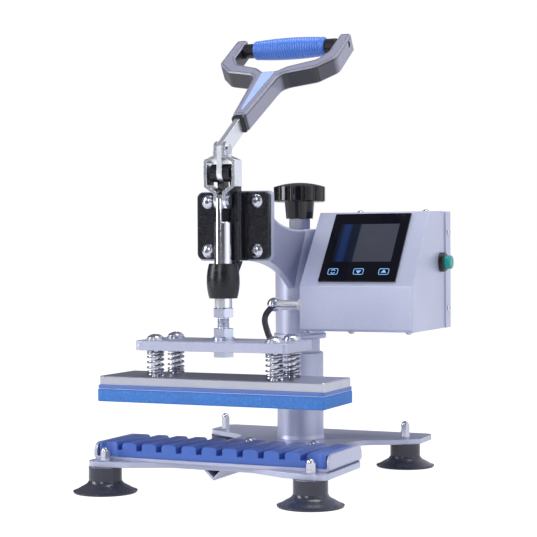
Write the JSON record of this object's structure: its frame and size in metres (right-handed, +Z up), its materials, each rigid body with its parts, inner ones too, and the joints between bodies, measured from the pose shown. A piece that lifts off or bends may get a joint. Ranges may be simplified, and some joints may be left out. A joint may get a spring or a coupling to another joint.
{
  "type": "pen heat press",
  "caption": "Bench heat press for pen barrels: grooved mat on a footed plate, swing arm on a column, toggle handle, sprung heating platen and a control box.",
  "frame": {"origin": "on the bench, under the middle of the press's bounding box at rest", "axes": "+X to the press's right, +Y to its back, +Z up"},
  "size_m": [0.28, 0.3264, 0.4304],
  "materials": {
    "rubber_black": "moulded black rubber",
    "zinc": "bright zinc",
    "grey_paint": "silver-grey hammered powder coat",
    "grey_sheet": "fine silver-grey powder coat",
    "silicone_blue": "matt blue silicone",
    "polished_steel": "polished steel",
    "black_cast": "black painted casting",
    "black_plastic": "black moulded plastic",
    "stamped_steel": "stamped and plated steel",
    "fork_grey": "two-tone grey moulded plastic",
    "inlay_blue": "pale blue plastic",
    "grip_blue": "ribbed blue rubber",
    "aluminium_plate": "milled aluminium",
    "spring_steel": "spring steel",
    "foam_blue": "blue silicone foam",
    "film_pale": "pale release film",
    "glass_black": "black gloss glass",
    "display_dark": "dark display",
    "board_green": "circuit board",
    "button_green": "green plastic",
    "cable_black": "black heat-proof sleeve",
    "collar_white": "pale plastic"
  },
  "bodies": {
    "base": {"foot_front_left": "rubber_black", "foot_front_right": "rubber_black", "foot_rear_left": "rubber_black", "foot_rear_right": "rubber_black", "foot_studs": "zinc", "foot_nuts": "zinc", "base_plate": "grey_paint", "stiffener_rail": "grey_paint", "deck_bolts": "zinc", "tray": "grey_paint", "tray_screws": "zinc", "pen_mat": "silicone_blue", "column_tube": "grey_paint"},
    "post": {"post": "polished_steel"},
    "arm": {"arm_casting": "grey_paint", "clamp_body": "black_cast", "clamp_screws": "zinc", "pivot_pin": "black_cast", "box_shell": "grey_sheet", "rear_cover": "grey_sheet", "box_screws": "zinc", "box_mount_screws": "zinc", "glass_panel": "glass_black", "display_module": "display_dark", "control_board": "board_green", "heater_relay": "black_plastic", "switch_bezel": "black_plastic", "cable_gland": "polished_steel", "gland_ball": "zinc", "heater_cable": "cable_black"},
    "height_knob": {"height_screw": "zinc", "lock_nut": "zinc", "knob": "black_plastic"},
    "handle": {"handle_blade": "stamped_steel", "handle_fork": "fork_grey", "handle_inlay": "inlay_blue", "mouth_plug": "black_plastic", "grip_barrel": "grip_blue", "grip_collars": "black_plastic", "grip_rod": "stamped_steel", "handle_pin": "zinc"},
    "links": {"link_left": "stamped_steel", "link_right": "stamped_steel", "link_rivets": "zinc"},
    "plunger": {"plunger": "polished_steel", "plunger_pin": "zinc", "head_bolt": "zinc", "head_nuts": "zinc", "pressure_plate": "grey_paint", "spring_front_left": "spring_steel", "spring_front_right": "spring_steel", "spring_rear_left": "spring_steel", "spring_rear_right": "spring_steel"},
    "platen": {"spring_bolts": "zinc", "heating_platen": "aluminium_plate", "platen_backing": "silicone_blue", "light_film": "film_pale", "press_pad": "foam_blue", "terminal_box": "black_plastic"},
    "button": {"power_button": "button_green"}
  },
  "joints": [
    {"name": "arm_swing", "type": "hinge", "parent": "base", "child": "post", "pos_m": [-0.011, 0.08485, 0.028], "axis": [0, 0, 1], "range_deg": [-90, 90]},
    {"name": "arm_height", "type": "slide", "parent": "post", "child": "arm", "axis": [0, 0, 1], "range_m": [-0.003, 0.004]},
    {"name": "knob_turn", "type": "hinge", "parent": "arm", "child": "height_knob", "pos_m": [-0.011, 0.08485, 0.25], "axis": [0, 0, 1], "range_deg": [-540.5, 720.5]},
    {"name": "handle_swing", "type": "hinge", "parent": "arm", "child": "handle", "pos_m": [-0.011, -0.09475, 0.287], "axis": [1, 0, 0], "range_deg": [0, 130]},
    {"name": "link_swing", "type": "hinge", "parent": "handle", "child": "links", "pos_m": [-0.011, -0.09475, 0.308], "axis": [1, 0, 0], "range_deg": [-109.63, 0]},
    {"name": "plunger_slide", "type": "slide", "parent": "arm", "child": "plunger", "axis": [0, 0, -1], "range_m": [0, 0.0316], "deforming": ["heater_cable"]},
    {"name": "platen_float", "type": "slide", "parent": "plunger", "child": "platen", "axis": [0, 0, 1], "range_m": [0, 0.005], "stiffness_N_per_m": 20000, "springref_m": -0.002, "deforming": ["spring_front_left", "spring_front_right", "spring_rear_left", "spring_rear_right", "heater_cable"]},
    {"name": "power_button_press", "type": "slide", "parent": "arm", "child": "button", "axis": [-1, 0, 0], "range_m": [0, 0.0025], "stiffness_N_per_m": 400, "springref_m": -0.001}
  ],
  "couplings": [
    {"joint": "knob_turn", "follows": "arm_height", "rad_per_m": 3141.6},
    {"joint": "link_swing", "follows": "handle_swing", "ratio": -0.84254},
    {"joint": "plunger_slide", "follows": "handle_swing", "m_per_rad": 0.013925}
  ]
}
